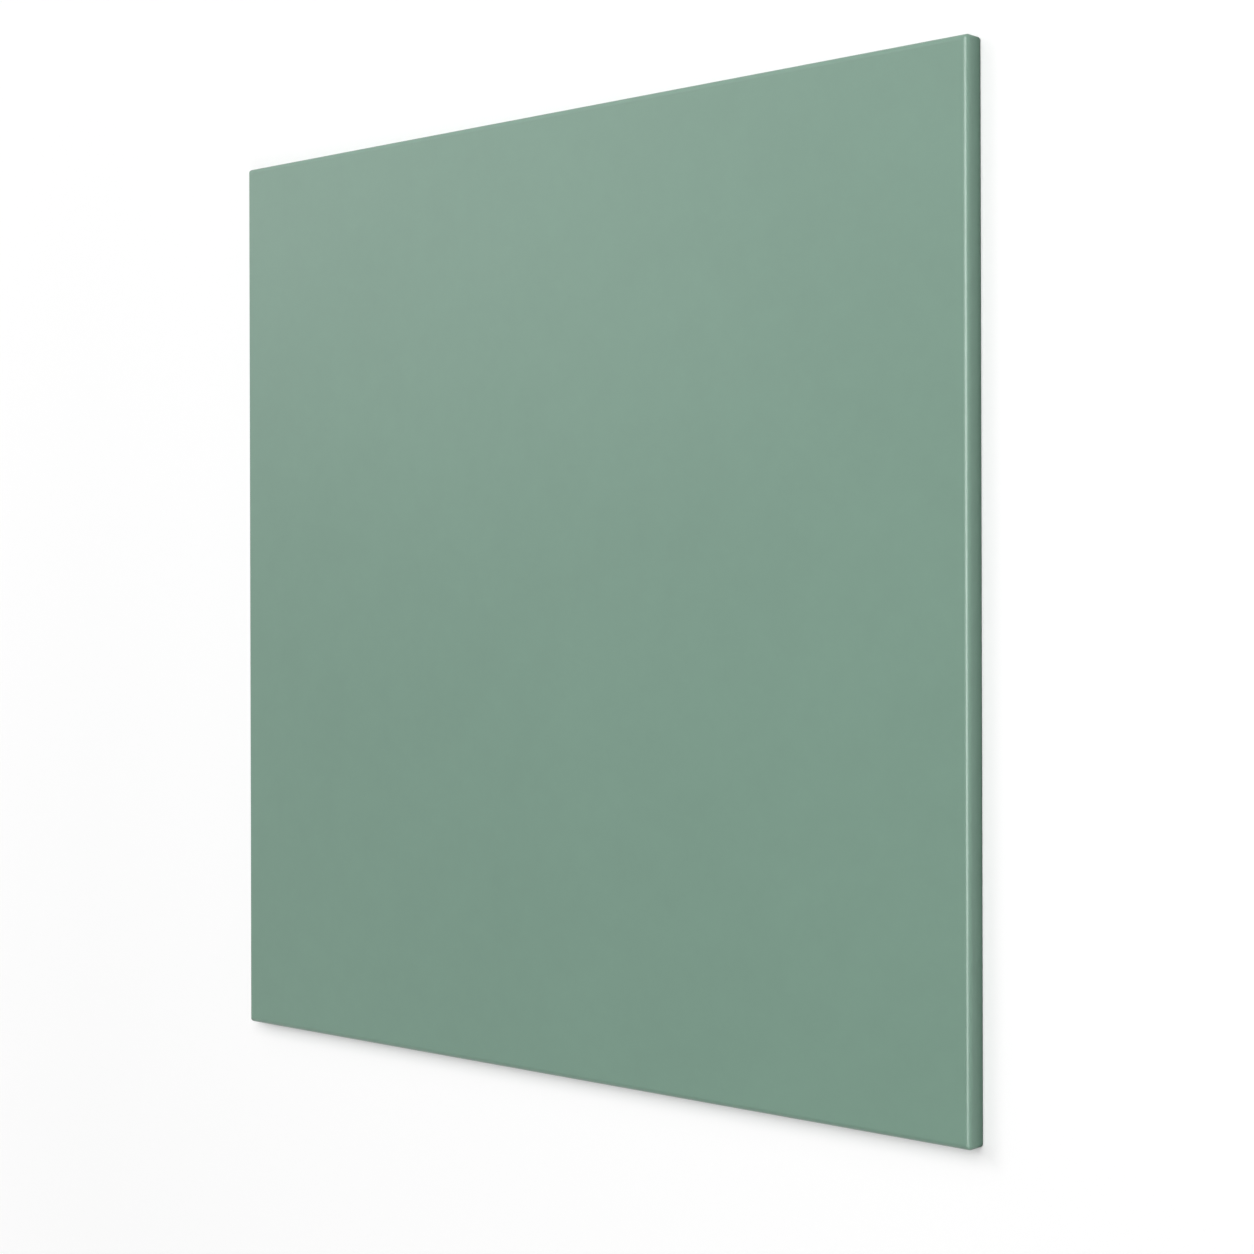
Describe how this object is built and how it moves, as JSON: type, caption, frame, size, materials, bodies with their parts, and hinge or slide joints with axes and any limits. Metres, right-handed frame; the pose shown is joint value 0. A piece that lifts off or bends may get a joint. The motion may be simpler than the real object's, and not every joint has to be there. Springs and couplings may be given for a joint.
{
  "type": "aluminium composite panel",
  "caption": "Flat square composite panel: a sage-green coated aluminium face sheet folded round its edges, over a bonded polymer core and an aluminium backing sheet.",
  "frame": {"origin": "middle of the back, on the surface that the panel lies on", "axes": "+X across the width, +Y along the length, +Z out of the coated face"},
  "size_m": [0.18, 0.18, 0.004],
  "materials": {
    "face_coating": "satin",
    "core_polymer": "matte",
    "backing_aluminium": "satin"
  },
  "bodies": {
    "root": {"face_sheet": "face_coating", "core": "core_polymer", "backing_sheet": "backing_aluminium"}
  },
  "joints": []
}
